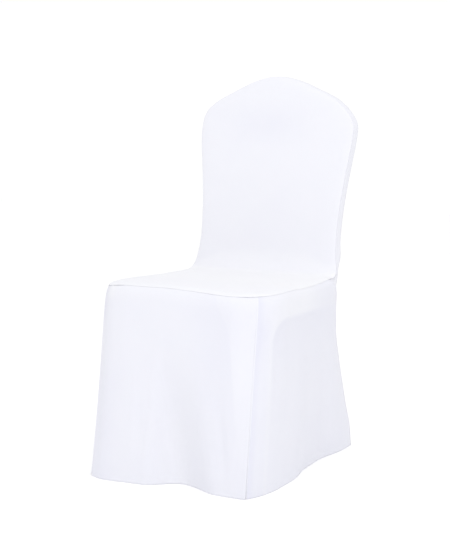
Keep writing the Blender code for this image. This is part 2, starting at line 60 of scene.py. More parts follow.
FOOTPRINT_CENTRE = np.array([-0.0156, 0.0442, 0.0])
CAMERA_TURN = math.radians(31.0)
CAMERA_TILT = math.radians(6.17)
CAMERA_DISTANCE = 2.8
CAMERA_ASIDE = 0.0025
CAMERA_HEIGHT = 0.759
SENSOR = 36.0  # mm along the picture's longer side
FOCAL_PIXELS = 1172.0
LONGER_SIDE_PIXELS = 559.0
camera_data = bpy.data.cameras.new("studio_camera")
camera_data.lens = SENSOR * FOCAL_PIXELS / LONGER_SIDE_PIXELS
camera = placed("studio_camera", camera_data)
ahead = np.array([-math.sin(CAMERA_TURN), math.cos(CAMERA_TURN), 0.0])
aside = np.array([math.cos(CAMERA_TURN), math.sin(CAMERA_TURN), 0.0])
place = -CAMERA_DISTANCE * ahead + CAMERA_ASIDE * aside + (0.0, 0.0, CAMERA_HEIGHT)
camera.location = place - FOOTPRINT_CENTRE
camera.rotation_euler = (math.radians(90.0) - CAMERA_TILT, 0.0, CAMERA_TURN)
bpy.context.scene.camera = camera
print("camera at", [round(x, 3) for x in camera.location], "lens", round(camera_data.lens, 1), "mm")

# %% [markdown]
# ## The cloth and its seams
# Stretch knit for covers is about a millimetre thick with its loops. Where two pieces are sewn,
# one edge lies just behind the other, so an edge is tucked in by the cloth and a hair's gap. The
# right pleat stands 43 degrees round its corner. The left one stands further round, where the
# cover's outline hides its slot.

# %% Cloth and seam measures
CLOTH = 0.0010
TUCK = CLOTH + 0.0003
BUTT_GAP = 0.0003  # between the boxing's ends and the skirt
TURN_TUCK = 0.0009  # more tuck where the seat's seam turns up into the back
TURN_TUCK_REACH = 0.04
SLOPE_STEP = 0.004  # the share of a curve over which its direction is read
HEM_CLEARANCE = 0.0003
HEM_FOLD = 0.0022  # from face to face of the turned hem
HEM_BEND = (45.0, 90.0, 135.0)
PLEAT_ANGLE = math.radians(43.0)
LEFT_PLEAT_ANGLE = math.radians(58.0)
PLEAT_DEPTH = 0.042
LAYER_GAP = (0.0006, 0.0026)  # between the pleat's layers, at the seam and at the hem
SEAT_HEIGHT = 0.45
SEAT_FRONT_HALF = 0.2256
SEAT_REAR_HALF = 0.2100
SEAT_FRONT_Y = -0.2142
SEAT_REAR_Y = 0.1764
SEAT_MIDDLE = (0.0, SEAT_REAR_Y - 0.2, 0.0)
SEAT_CORNER_RADIUS = 0.085
SEAT_CORNER_SHARES = (0.0, 0.28, 0.6, 1.0)
BACK_FOOT_Y = 0.1937
BACK_LEAN = 0.162
BACK_DEPTH = 0.0265
CROWN_SHIFT = -0.010
CROWN_SHIFT_FROM, CROWN_SHIFT_RISE = 0.82, 0.06
print("a sewn edge lies", round(1000.0 * TUCK, 1), "mm behind the next piece")

# %% [markdown]
# ## Curves through measured points
# Every outline is a short table of points. A cubic curve through them is smooth, passes each
# point exactly and is quick to work out for a whole array at once.

# %% Small curve helpers
def ease(t):
    """A smooth step: 3 t squared minus 2 t cubed, held at 0 and 1 outside."""
    t = np.clip(t, 0.0, 1.0)
    return t * t * (3.0 - 2.0 * t)


def bell(t):
    """A smooth bump: the smooth step of 1 minus the distance from 0."""
    return ease(1.0 - np.abs(t))


def rolled(distance, length):
    """How far a padded surface has risen: 1 minus e to the power of minus distance over length."""
    return 1.0 - np.exp(-distance / length)


def unit(vectors):
    """Each vector over its own length."""
    return vectors / np.maximum(np.linalg.norm(vectors, axis=-1, keepdims=True), 1e-12)


def length_of(rows):
    """The length of a run of points: the sum of its steps."""
    return np.linalg.norm(np.diff(rows, axis=0), axis=1).sum()


def shares(rows):
    """How far along a run of points each one lies, from 0 to 1: summed steps over their total."""
    steps = np.linalg.norm(np.diff(np.asarray(rows, float), axis=0), axis=1)
    run = np.concatenate([[0.0], np.cumsum(steps)])
    return run / run[-1]


def spline(knots, rows, at):
    """A cubic between each two rows, which meets the slope of their neighbours at both."""
    rows = np.asarray(rows, float)
    slopes = np.gradient(rows, knots, axis=0)
    i = np.clip(np.searchsorted(knots, at, side="right") - 1, 0, len(knots) - 2)
    span = (knots[i + 1] - knots[i])[..., None]
    s = (at[..., None] - knots[i][..., None]) / span
    ends = (1 + 2 * s) * (1 - s) ** 2 * rows[i] + s * s * (3 - 2 * s) * rows[i + 1]
    bends = s * (1 - s) ** 2 * slopes[i] - s * s * (1 - s) * slopes[i + 1]
    return ends + bends * span


def graded(count, closeness=0.7):
    """Stops from 0 to 1, closer at both ends: t minus a share of the sine of a full turn of t."""
    t = np.linspace(0.0, 1.0, count + 1)
    return t - closeness * np.sin(2.0 * math.pi * t) / (2.0 * math.pi)


print("a graded run of four steps", graded(4).round(3))

# %% [markdown]
# ## The seat's seam
# The seam runs along the front, round both front corners and back along the sides, where it
# turns up into the edge of the back. Its corner is an arc, its sides narrow towards the rear.

# %% Tables of the seams
FRONT_SEAM = (  # x, z
    (-0.200, 0.4490), (-0.158, 0.4550), (-0.080, 0.4560), (-0.020, 0.4560),
    (0.067, 0.4515), (0.134, 0.4475), (0.200, 0.4470))
SIDE_SEAM = (  # y, z on the right, z on the left
    (-0.195, 0.4470, 0.4490), (-0.160, 0.4485, 0.4505), (-0.129, 0.4500, 0.4520),
    (-0.077, 0.4510, 0.4540), (-0.003, 0.4490, 0.4540), (0.048, 0.4500, 0.4535),
    (0.101, 0.4530, 0.4550), (0.133, 0.4560, 0.4555))
TURN_UP = (  # half width, y, z
    (0.2110, 0.1500, 0.4570), (0.2100, 0.1720, 0.4585), (0.2080, 0.1870, 0.4660),
    (0.2045, 0.1950, 0.4790), (0.1995, 0.1995, 0.5010))
BACK_SIDE = (  # half width, z
    (0.1962, 0.540), (0.1972, 0.600), (0.2030, 0.670), (0.2115, 0.735),
    (0.2185, 0.790), (0.2195, 0.825), (0.2120, 0.850), (0.1960, 0.8735))
CROWN = (  # half width, z
    (0.1960, 0.8735), (0.1720, 0.8920), (0.1435, 0.9070), (0.1175, 0.9185), (0.0940, 0.9290),
    (0.0710, 0.9385), (0.0470, 0.9460), (0.0250, 0.9507), (0.0000, 0.9525))
GUSSET = (  # half width, y, z
    (0.2110, 0.1500, 0.4545), (0.2045, 0.1770, 0.4345), (0.1965, 0.1960, 0.4175),
    (0.1885, 0.2130, 0.4022), (0.1870, 0.2180, 0.3980))
REAR_CORNER = (  # half width, y, z
    (0.1960, 0.2245, 0.4750), (0.1955, 0.2205, 0.4500), (0.1905, 0.2200, 0.4200),
    (0.1870, 0.2225, 0.3900), (0.1860, 0.2310, 0.3500), (0.1855, 0.2400, 0.3000),
    (0.1850, 0.2580, 0.2400), (0.1840, 0.2800, 0.1800), (0.1820, 0.3050, 0.1200),
    (0.1815, 0.3310, 0.0600), (0.1810, 0.3430, 0.0020))

# %% Seam curves
def back_plane_y(z):
    """Depth of the back's front seam: its place at the seat, plus the lean times the height above it."""
    return BACK_FOOT_Y + BACK_LEAN * (z - SEAT_HEIGHT)


def corner_point(angle):
    """Half width and y on the corner's arc: the sine and cosine of the angle from the front."""
    half = SEAT_FRONT_HALF - SEAT_CORNER_RADIUS * (1.0 - math.sin(angle))
    return half, SEAT_FRONT_Y + SEAT_CORNER_RADIUS * (1.0 - math.cos(angle))


def side_seam_rows(side, start_angle):
    """The side seam from the pleat: points of the arc, then a straight line that narrows."""
    heights = np.array(SIDE_SEAM)
    turn = 0.5 * math.pi - start_angle
    plan = [corner_point(start_angle + turn * share) for share in SEAT_CORNER_SHARES]
    straight_start = SEAT_FRONT_Y + SEAT_CORNER_RADIUS
    narrowing = (SEAT_REAR_HALF - SEAT_FRONT_HALF) / (SEAT_REAR_Y - straight_start)
    for y in heights[len(SEAT_CORNER_SHARES) - 1:, 0]:
        plan.append((SEAT_FRONT_HALF + narrowing * (y - straight_start), y))
    column = 1 if side > 0 else 2
    return [(side * half, y, float(np.interp(y, heights[:, 0], heights[:, column]))) for half, y in plan]


def front_seam_point(share, start_angle, end_angle):
    """The front seam: a straight run with an arc at each end, at the table's heights."""
    flat = 2.0 * (SEAT_FRONT_HALF - SEAT_CORNER_RADIUS)
    length = SEAT_CORNER_RADIUS * (start_angle + end_angle) + flat
    run = np.asarray(share) * length - SEAT_CORNER_RADIUS * start_angle - 0.5 * flat
    past = np.maximum(np.abs(run) - 0.5 * flat, 0.0) / SEAT_CORNER_RADIUS
    x = np.sign(run) * (np.minimum(np.abs(run), 0.5 * flat) + SEAT_CORNER_RADIUS * np.sin(past))
    y = SEAT_FRONT_Y + SEAT_CORNER_RADIUS * (1.0 - np.cos(past))
    seam = np.array(FRONT_SEAM)
    return np.stack([x, y, spline(seam[:, 0], seam[:, 1:], x)[..., 0]], axis=-1)


def crown_curve(share):
    """The crown's outline from the left shoulder to the right one, on the leaning plane."""
    right = np.array(CROWN)
    rows = np.concatenate([right * (-1.0, 1.0), right[-2::-1]])
    outline = spline(shares(rows), rows, np.asarray(share))
    return np.stack([outline[..., 0], back_plane_y(outline[..., 1]), outline[..., 1]], axis=-1)


def panel_edge_rows(side):
    """The panel's side edge: side seam, turn up, then the back's outline to the shoulder."""
    rows = side_seam_rows(side, PLEAT_ANGLE)
    rows += [(side * half, y, z) for half, y, z in TURN_UP]
    rows += [(side * half, back_plane_y(z), z) for half, z in BACK_SIDE]
    return np.array(rows)


print("seam from pleat to shoulder", round(float(length_of(panel_edge_rows(1))), 3), "m")

# %% [markdown]
# ## From a surface to a sheet of cloth
# Each piece is a function of two parameters, worked out on a grid. Fine relief, such as a seam's
# valley or a crease, is a height along the surface's own normal. Two maps go with the mesh, both
# in metres: one for the knit, one that counts from the hem for its stitches.
# A third value mixes each point's white towards a shade. Stretched white knit looks a little whiter
# over something solid than where it hangs free, but most of this value is painted light and painted shade.

# %% Grid helpers
def grid_normals(grid):
    """The normal at each point: the cross product of the steps across and along the grid."""
    across = np.gradient(grid, axis=1)
    along = np.gradient(grid, axis=0)
    return unit(np.cross(across, along))


def lifted(grid, height):
    """The grid moved along its normals by a height in metres."""
    return grid + grid_normals(grid) * height[..., None]


def run_along(grid, axis):
    """Distance from the first line of the grid along one axis, summed point by point."""
    steps = np.linalg.norm(np.diff(grid, axis=axis), axis=-1)
    start = np.zeros_like(np.take(steps, [0], axis=axis))
    return np.concatenate([start, np.cumsum(steps, axis=axis)], axis=axis)


def lean_aside(grid):
    """The crown sits a little to the left: the shift times a smooth step of the height."""
    shift = CROWN_SHIFT * ease((grid[..., 2] - CROWN_SHIFT_FROM) / CROWN_SHIFT_RISE)
    return grid + shift[..., None] * (1.0, 0.0, 0.0)


def turned_hem(grid, rows):
    """A hem: the first rows again behind the cloth, joined to its edge by a half circle."""
    normal = grid_normals(grid)
    down = unit(grid[0] - grid[1])
    inside = (grid - normal * HEM_FOLD)[:rows][::-1]
    angle = np.radians(HEM_BEND)[:, None, None]
    radius = 0.5 * HEM_FOLD
    bend = grid[0] - normal[0] * radius * (1.0 + np.cos(angle)) + down * radius * np.sin(angle)
    hemmed = np.concatenate([inside, bend, grid])
    hemmed[..., 2] = np.maximum(hemmed[..., 2], HEM_CLEARANCE)
    return hemmed

# %% Mesh maker
def cloth_piece(name, grid, material, hem_row=0, backing_and_painted_light=0.0):
    """A grid of four-sided faces with its maps, then given the cloth's thickness inwards."""
    grid = lean_aside(grid) - FOOTPRINT_CENTRE
    rows, columns = grid.shape[:2]
    corner = np.arange(rows * columns).reshape(rows, columns)
    low, high = corner[:-1], corner[1:]
    quads = np.stack([low[:, :-1], low[:, 1:], high[:, 1:], high[:, :-1]], axis=-1).reshape(-1, 4)
    mesh = bpy.data.meshes.new(name)
    mesh.from_pydata(grid.reshape(-1, 3), [], quads)
    mesh.validate()
    across = run_along(grid, 1)
    across = across - across[:, columns // 2, None]
    along = run_along(grid, 0)
    along = along - along[hem_row]
    for layer_name, first, second in (("knit", across, along), ("hem", np.abs(across), np.abs(along))):
        places = np.stack([first, second], axis=-1).reshape(-1, 2)[quads.ravel()]
        layer = mesh.uv_layers.new(name=layer_name)
        layer.uv.foreach_set("vector", places.astype(np.float32).ravel())
    # Each point's painted light and shade, with a little of the knit's own whitening over the chair.
    painted_light_attribute = mesh.attributes.new("backing_and_painted_light", "FLOAT", "POINT")
    values = np.broadcast_to(backing_and_painted_light, (rows, columns)).astype(np.float32)
    painted_light_attribute.data.foreach_set("value", values.ravel())
    mesh.shade_smooth()
    mesh.materials.append(material)
    piece = placed(name, mesh)
    solid = piece.modifiers.new("cloth_thickness", "SOLIDIFY")
    solid.thickness = CLOTH
    solid.offset = -1.0
    print(name, rows, "by", columns, "points")
    return piece


def seam_turnings(name, grid, margins, material):
    """The edges' turned-in margins: strips of the same grid, moved in by the cloth and a hair's gap."""
    under = lifted(grid, np.full(grid.shape[:2], -TUCK))
    return [cloth_piece(name + "_" + side, under[margins[side]], material) for side in margins]


# %% [markdown]
# ## The knit
# Close up, stretch knit shows fine upright wales crossed by courses, and its white is never quite
# even. It could be an image, but waves and noise keep their detail at any distance. One shader
# group makes the relief and the tint for all four materials, and each has a Principled shader.

# %% Small shader helpers
def math_node(tree, operation, *values):
    """One Math node: each value is either a number for its socket or an output to link to it."""
    node = tree.nodes.new("ShaderNodeMath")
    node.operation = operation
    for socket, value in zip(node.inputs, values):
        if isinstance(value, float):
            socket.default_value = value
        else:
            tree.links.new(value, socket)
    return node.outputs[0]


def noise_node(tree, place, scale, detail):
    """Noise that repeats about scale times in a metre."""
    node = tree.nodes.new("ShaderNodeTexNoise")
    node.inputs["Scale"].default_value = scale
    node.inputs["Detail"].default_value = detail
    tree.links.new(place, node.inputs["Vector"])
    return node.outputs[0]


def split_map(tree, place):
    """The two directions of a map, as outputs of their own."""
    split = tree.nodes.new("ShaderNodeSeparateXYZ")
    tree.links.new(place, split.inputs[0])
    return split.outputs[0], split.outputs[1]

# %% Knit group
WALES_PER_METRE = 620.0
COURSES_PER_WALE = 1.15
KNIT_SOCKETS = (
    ("Place", "INPUT", "Vector"), ("Wales per metre", "INPUT", "Float"), ("White", "INPUT", "Color"),
    ("Shade", "INPUT", "Color"), ("Backing and painted light", "INPUT", "Float"), ("Tint", "OUTPUT", "Color"),
    ("Height", "OUTPUT", "Float"), ("Roughness", "OUTPUT", "Float"))


def knit_group():
    """Height: sine of the wales times sine of the courses, plus fine noise.

    Tint: a mix of two whites, by noise less the painted light and shade. Roughness: a base plus a share of
    noise.
    """
    group = bpy.data.node_groups.new("stretch_knit", "ShaderNodeTree")
    for name, direction, kind in KNIT_SOCKETS:
        group.interface.new_socket(name, in_out=direction, socket_type="NodeSocket" + kind)
    given = group.nodes.new("NodeGroupInput").outputs
    result = group.nodes.new("NodeGroupOutput").inputs
    across, along = split_map(group, given["Place"])
    turns = math_node(group, "MULTIPLY", given["Wales per metre"], 2.0 * math.pi)
    wale = math_node(group, "SINE", math_node(group, "MULTIPLY", across, turns))
    upwards = math_node(group, "MULTIPLY", along, turns)
    course = math_node(group, "SINE", math_node(group, "MULTIPLY", upwards, COURSES_PER_WALE))
    loops = math_node(group, "MULTIPLY", wale, math_node(group, "MULTIPLY_ADD", course, 0.45, 0.75))
    soft = noise_node(group, given["Place"], 14.0, 3.0)
    slubs = noise_node(group, given["Place"], 420.0, 2.0)
    height = math_node(group, "MULTIPLY_ADD", loops, 0.30, math_node(group, "MULTIPLY", slubs, 0.8))
    uneven = math_node(group, "MULTIPLY_ADD", soft, 0.7, math_node(group, "MULTIPLY", slubs, 0.3))
    thin = math_node(group, "MULTIPLY_ADD", uneven, 0.25, 0.875)
    tint = group.nodes.new("ShaderNodeMix")
    tint.data_type = "RGBA"
    for output, socket in (
            (math_node(group, "SUBTRACT", thin, given["Backing and painted light"]), tint.inputs["Factor"]),
            (given["White"], tint.inputs["A"]), (given["Shade"], tint.inputs["B"]),
            (tint.outputs["Result"], result["Tint"]), (height, result["Height"]),
            (math_node(group, "MULTIPLY_ADD", soft, 0.16, 0.70), result["Roughness"])):
        group.links.new(output, socket)
    return group


KNIT = knit_group()
print("shader group", KNIT.name, "with", len(KNIT.nodes), "nodes")

# %% [markdown]
# ## The finish of each piece
# White polyester looks a little lavender under a studio's cool light, and its fuzz gives a soft
# sheen. The hem is held by one line of stitches 14 mm above the edge, each 3 mm long. They could
# be modelled, but a row of dimples in the relief is enough at this size.

# %% Cloth material
STITCH_LINE = 0.014
STITCH_HALF_WIDTH = 0.0007
STITCH_HALF_PITCH = 0.002
STITCH_HALF_GAP = 0.0005
KNIT_RELIEF = {"Strength": 0.35, "Distance": 0.0003}
POLYESTER = {"Sheen Weight": 0.15, "Sheen Roughness": 0.45, "Specular IOR Level": 0.2}


def stitch_dimples(tree):
    """1 in a stitch, else 0: within half its width of the line, and past half a gap in each pitch."""
    hem_map = tree.nodes.new("ShaderNodeUVMap")
    hem_map.uv_map = "hem"
    across, from_hem = split_map(tree, hem_map.outputs[0])
    on_line = math_node(tree, "COMPARE", from_hem, STITCH_LINE, STITCH_HALF_WIDTH)
    beat = math_node(tree, "PINGPONG", across, STITCH_HALF_PITCH)
    return math_node(tree, "MULTIPLY", on_line, math_node(tree, "GREATER_THAN", beat, STITCH_HALF_GAP))


def cloth_finish(name, white, shade, stitched=False):
    """A Principled shader fed by the knit group, less a line of dimples where the hem is stitched."""
    material = bpy.data.materials.new(name)
    material.use_nodes = True
    tree = material.node_tree
    shader = tree.nodes["Principled BSDF"]
    knit_map = tree.nodes.new("ShaderNodeUVMap")
    knit_map.uv_map = "knit"
    backing_and_painted_light = tree.nodes.new("ShaderNodeAttribute")
    backing_and_painted_light.attribute_name = "backing_and_painted_light"
    knit = tree.nodes.new("ShaderNodeGroup")
    knit.node_tree = KNIT
    for socket, value in (("White", white), ("Shade", shade), ("Wales per metre", WALES_PER_METRE)):
        knit.inputs[socket].default_value = value
    height = knit.outputs["Height"]
    if stitched:
        height = math_node(tree, "SUBTRACT", height, stitch_dimples(tree))
    bump = tree.nodes.new("ShaderNodeBump")
    for node, values in ((bump, KNIT_RELIEF), (shader, POLYESTER)):
        for socket, value in values.items():
            node.inputs[socket].default_value = value
    for output, socket in (
            (knit_map.outputs[0], knit.inputs["Place"]), (backing_and_painted_light.outputs["Fac"], knit.inputs["Backing and painted light"]),
            (knit.outputs["Tint"], shader.inputs["Base Color"]),
            (knit.outputs["Roughness"], shader.inputs["Roughness"]),
            (height, bump.inputs["Height"]), (bump.outputs["Normal"], shader.inputs["Normal"])):
        tree.links.new(output, socket)
    return material


# WHITE is the knit where the most light is painted on, SHADE, a little bluer, where the most shade is
# painted on.
WHITE = (0.798, 0.800, 0.828, 1.0)
SHADE = (0.690, 0.694, 0.776, 1.0)
seat_cloth = cloth_finish("seat_and_back_knit", WHITE, SHADE)
boxing_cloth = cloth_finish("boxing_knit", WHITE, SHADE)
outside_cloth = cloth_finish("outside_knit", WHITE, SHADE, stitched=True)
skirt_cloth = cloth_finish("skirt_knit", WHITE, SHADE, stitched=True)
print("materials", [m.name for m in (seat_cloth, boxing_cloth, outside_cloth, skirt_cloth)])

# %% [markdown]
# ## Seat and inside back
# One sheet covers both. It is spanned between its four edges, pushed up by the seat's pad and
# forward by the back's, and it bridges the corner between them because stretch cloth can't reach
# into it. A simulation would find that bridge too, but an average along the sheet is quicker. The
# seams pull a narrow valley, fine puckers and a fan of creases where they turn up.

# %% Shape of the seat and inside back
PANEL_COLUMNS = 132
SEAT_ROWS = 84
TURN_ROWS = 22
BACK_ROWS = 112
GUSSET_ROWS = 14
FRONT_CLOSENESS, CROWN_CLOSENESS = 1.35, 1.3
FOOT_REACH = 0.090
FRONT_BOW_REACH, CROWN_BOW_REACH = 0.20, 0.28
UPRIGHT_FROM_Y, UPRIGHT_DEPTH = 0.09, 0.11
SEAT_PAD, SEAT_PAD_ROLL = 0.005, 0.013
BACK_PAD, BACK_PAD_ROLL = 0.004, 0.010
HOLLOW, HOLLOW_HEIGHT, HOLLOW_REACH = 0.0045, 0.81, 0.11


def across_stops():
    """Columns from edge to edge, closer near both."""
    return 2.0 * graded(PANEL_COLUMNS) - 1.0


def seat_stops():
    """Rows of the seat from the front seam, of the turn up, and of the back up to the crown."""
    knots = shares(panel_edge_rows(1))
    turn_start = knots[len(side_seam_rows(1, PLEAT_ANGLE))]
    turn_end = knots[-len(BACK_SIDE) - 1]
    seat = turn_start * np.linspace(0.0, 1.0, SEAT_ROWS + 1) ** FRONT_CLOSENESS
    turn = np.linspace(turn_start, turn_end, TURN_ROWS + 1)
    back = turn_end + (1.0 - turn_end) * (1.0 - np.linspace(1.0, 0.0, BACK_ROWS + 1) ** CROWN_CLOSENESS)
    return np.concatenate([seat, turn[1:], back[1:]])


def seat_and_back(u, v):
    """Straight between the side edges, averaged along the foot, plus the edges' bows and the pads."""
    right = panel_edge_rows(1)
    left = panel_edge_rows(-1)
    knots = shares(right)
    share = 0.5 * (u + 1.0)
    length = length_of(right)

    def across(a, b):
        return a + (b - a) * share[..., None]

    def spanned(at):
        at = np.clip(at, 0.0, 1.0)
        return across(spline(knots, left, at), spline(knots, right, at))

    right_edge = spline(knots, right, v)
    left_edge = spline(knots, left, v)
    point = across(left_edge, right_edge)
    foot = knots[len(side_seam_rows(1, PLEAT_ANGLE)) + 1]
    from_foot = np.abs(v - foot) * length
    near_foot = (1.0 - u ** 4) * ease((1.8 * FOOT_REACH - from_foot) / (0.8 * FOOT_REACH))
    steps = np.linspace(-FOOT_REACH, FOOT_REACH, 25)[1:-1]
    weights = bell(steps / FOOT_REACH)
    stretched = sum(w * spanned(v + step / length) for w, step in zip(weights, steps)) / weights.sum()
    point = point + (stretched - point) * near_foot[..., None]
    from_front = v * length
    from_crown = (1.0 - v) * length
    front_bow = front_seam_point(share, PLEAT_ANGLE, PLEAT_ANGLE) - across(left[0], right[0])
    crown_bow = crown_curve(share) - across(left[-1], right[-1])
    point = point + front_bow * ease(1.0 - from_front / FRONT_BOW_REACH)[..., None]
    point = point + crown_bow * ease(1.0 - from_crown / CROWN_BOW_REACH)[..., None]
    from_side = (1.0 - np.abs(u)) * 0.5 * np.abs(right_edge[..., 0] - left_edge[..., 0])
    upright = ease((point[..., 1] - UPRIGHT_FROM_Y) / UPRIGHT_DEPTH)
    seat_rise = SEAT_PAD * rolled(from_side, SEAT_PAD_ROLL) * rolled(from_front, SEAT_PAD_ROLL)
    back_rise = BACK_PAD * rolled(from_side, BACK_PAD_ROLL) * rolled(from_crown, BACK_PAD_ROLL)
    hollow = HOLLOW * bell((u + 0.10) / 0.80) * bell((point[..., 2] - HOLLOW_HEIGHT) / HOLLOW_REACH)
    point[..., 2] += seat_rise * (1.0 - upright)
    point[..., 1] += hollow - back_rise * upright
    return point

# %% Relief of the seat and inside back
VALLEY_REACH, PUCKER_REACH, PUCKER_START = 0.0013, 0.011, 0.002


def seam_relief(distance, run, depth=0.0003, pucker=0.00025, pitch=0.016):
    """A valley that fades from the seam, and puckers: a sine along it that fades more slowly."""
    wander = 0.6 * np.sin(run / 0.043) + 0.4 * np.sin(run / 0.019 + 1.3)
    waves = np.sin(2.0 * math.pi * run / pitch + 2.2 * wander)
    waves *= np.exp(-distance / PUCKER_REACH) * rolled(distance, PUCKER_START)
    return pucker * waves - depth * np.exp(-distance / VALLEY_REACH)


def fan(grid, centre, directions, reach, width, depth):
    """Creases that run out from a point: a narrow bump across each direction, fading with distance."""
    offset = grid - centre
    height = np.zeros(grid.shape[:2])
    for way, share in directions:
        way = unit(way)
        along = offset @ way
        beside = np.linalg.norm(offset - along[..., None] * way, axis=-1)
        spread = width * (0.5 + along / reach)
        fade = ease(along / (0.12 * reach)) * ease((reach * share - along) / (0.7 * reach))
        height += depth * np.exp(-(beside / np.maximum(spread, 1e-4)) ** 2) * fade
    return height


across, along = np.meshgrid(across_stops(), seat_stops())
seat_grid = seat_and_back(across, along)
from_left = run_along(seat_grid, 1)
from_right = from_left[:, -1:] - from_left
from_front = run_along(seat_grid, 0)
from_crown = from_front[-1:] - from_front
seat_relief = seam_relief(from_left, from_front) + seam_relief(from_right, from_front + 0.7)
seat_relief += seam_relief(from_front, from_left) + seam_relief(from_crown, from_left + 0.3)
FAN_CENTRE = (0.2085, 0.184, 0.464)
FAN_WAYS = (  # direction on the right side, share of the reach
    ((-0.5, -0.25, 0.9), 1.0), ((-0.9, -0.25, 0.55), 0.8),
    ((-0.95, -0.45, 0.12), 0.9), ((-0.6, -0.85, 0.02), 0.7))
for side in (1, -1):
    mirror = (side, 1.0, 1.0)
    ways = [(np.array(way) * mirror, share) for way, share in FAN_WAYS]
    centre = np.array(FAN_CENTRE) * mirror
    seat_relief += fan(seat_grid, centre, ways, reach=0.085, width=0.0055, depth=0.0009)
swells = np.sin(seat_grid[..., 2] / 0.071 + seat_grid[..., 1] / 0.06 + 0.4)
swells *= np.sin(seat_grid[..., 0] / 0.050 + 0.8)
swells *= rolled(np.minimum(from_left, from_right), 0.03) * rolled(np.minimum(from_front, from_crown), 0.03)
seat_grid = lifted(seat_grid, seat_relief + 0.0005 * swells)
print("greatest crease", round(1000.0 * float(seat_relief.max()), 2), "mm")

# %% [markdown]
# ## Painted light and shade on the seat and back
# The seat's pad fills the cloth and whitens it a little, and painted light makes the seat whiter,
# most of all towards the rear. The foot of the back gets painted light too, under an arch, and the
# hollow below the crown painted shade. Lights alone would show less of this, because they can't shine
# through the model's cloth.

# %% Painted light and shade of the seat and inside back
def seat_and_back_painted_light(across, grid):
    """Painted light and shade: the plain back's value, plus painted light over the foot and the seat, less
    painted shade in the hollow.
    """
    height = grid[..., 2]
    foot_arch = 0.460 + 0.052 * (1.0 - across ** 4)
    on_foot = ease((foot_arch + 0.010 - height) / 0.020)
    on_seat = ease((0.470 - height) / 0.010)
    to_rear = ease((grid[..., 1] + 0.15) / 0.20)
    in_hollow = bell((across + 0.12) / 0.80) * bell((height - 0.830) / 0.080)
    return 0.60 + 0.10 * on_foot + (0.13 + 0.20 * to_rear) * on_seat - 0.22 * in_hollow


seat_painted_light = seat_and_back_painted_light(across, seat_grid)
seat_piece = cloth_piece("seat_and_inside_back_cloth", seat_grid, seat_cloth, backing_and_painted_light=seat_painted_light)
SEAT_MARGINS = {
    "front": np.s_[:10, :], "left": np.s_[10:-10, :10],
    "right": np.s_[10:-10, -10:], "crown": np.s_[-10:, :]}
seat_turnings = seam_turnings("seat_turning", seat_grid, SEAT_MARGINS, seat_cloth)

# %% [markdown]
# ## Outside back
# The rear isn't seen in the photograph. It is cut plainly, as one sheet from the crown to the
# hem, and it flares over the chair's rear legs with a few soft flutes. Its rows are level with
# those of the inside back, so that the boxing between them is a plain ladder of rows.

# %% Shape of the outside back
BACK_FLUTES = (  # place across, depth, half width
    (-0.55, 0.008, 0.30), (0.05, 0.011, 0.38), (0.60, 0.007, 0.28))
FLUTE_TOP = 0.42
BACK_SWELL, BACK_DIP, DIP_HEIGHT = 0.003, 0.012, 0.22
SKIRT_ROWS = 92
FINE_STEPS = np.linspace(0.0, 1.0, 4001)


def skirt_stops():
    """Rows of the skirt from the hem at 1 up to the seam at 0."""
    return 1.0 - graded(SKIRT_ROWS)


def outside_edge_rows():
    """The outside back's right edge: the back's outline moved back, then the rear corner down."""
    rows = [(half, back_plane_y(z) + BACK_DEPTH, z) for half, z in BACK_SIDE[::-1]]
    half, _, z = TURN_UP[-1]
    rows += [(half, back_plane_y(z) + BACK_DEPTH, z)]
    return np.array(rows + list(REAR_CORNER))


def outside_edge_at(z):
    """Half width and y of that edge at a height, read off a fine run of its curve."""
    rows = outside_edge_rows()
    edge = spline(shares(rows), rows, FINE_STEPS)[::-1]
    return np.interp(z, edge[:, 2], edge[:, 0]), np.interp(z, edge[:, 2], edge[:, 1])


def outside_back(u, v):
    """Straight across between mirrored edges, plus the crown's bow, a swell, a dip and the flutes."""
    right = outside_edge_rows()
    edge = spline(shares(right), right, v)
    crown = crown_curve(0.5 * (u + 1.0))
    crown[..., 1] += BACK_DEPTH
    length = length_of(right)
    widen = np.stack([u, np.ones_like(u), np.ones_like(u)], axis=-1)
    point = edge * widen
    point = point + (crown - right[0] * widen) * ease(1.0 - v * length / CROWN_BOW_REACH)[..., None]
    low = ease((FLUTE_TOP - point[..., 2]) / FLUTE_TOP)
    middle = 1.0 - u ** 4
    point[..., 1] += BACK_SWELL * middle * (1.0 - low) * ease(v * length / 0.03)
    point[..., 1] -= BACK_DIP * middle * bell((point[..., 2] - DIP_HEIGHT) / DIP_HEIGHT)
    for place, depth, half in BACK_FLUTES:
        point[..., 1] -= depth * bell((u - place) / half) * low ** 1.5
    return point


def outside_stops():
    """Rows level with the inside back's rows, then with the boxing's end, then down to the hem."""
    rows = outside_edge_rows()
    inside = seat_and_back(np.ones(BACK_ROWS + 1), seat_stops()[-BACK_ROWS - 1:])[::-1, 2]
    low = np.linspace(inside[-1], GUSSET[-2][2] + BUTT_GAP, TURN_ROWS + GUSSET_ROWS + 1)
    hem = GUSSET[-1][2] + (HEM_CLEARANCE - GUSSET[-1][2]) * skirt_stops()[::-1]
    height = spline(shares(rows), rows, FINE_STEPS)[:, 2]
    stops = np.interp(-np.concatenate([inside, low[1:], hem]), -height, FINE_STEPS)
    stops[0], stops[-1] = 0.0, 1.0
    return stops

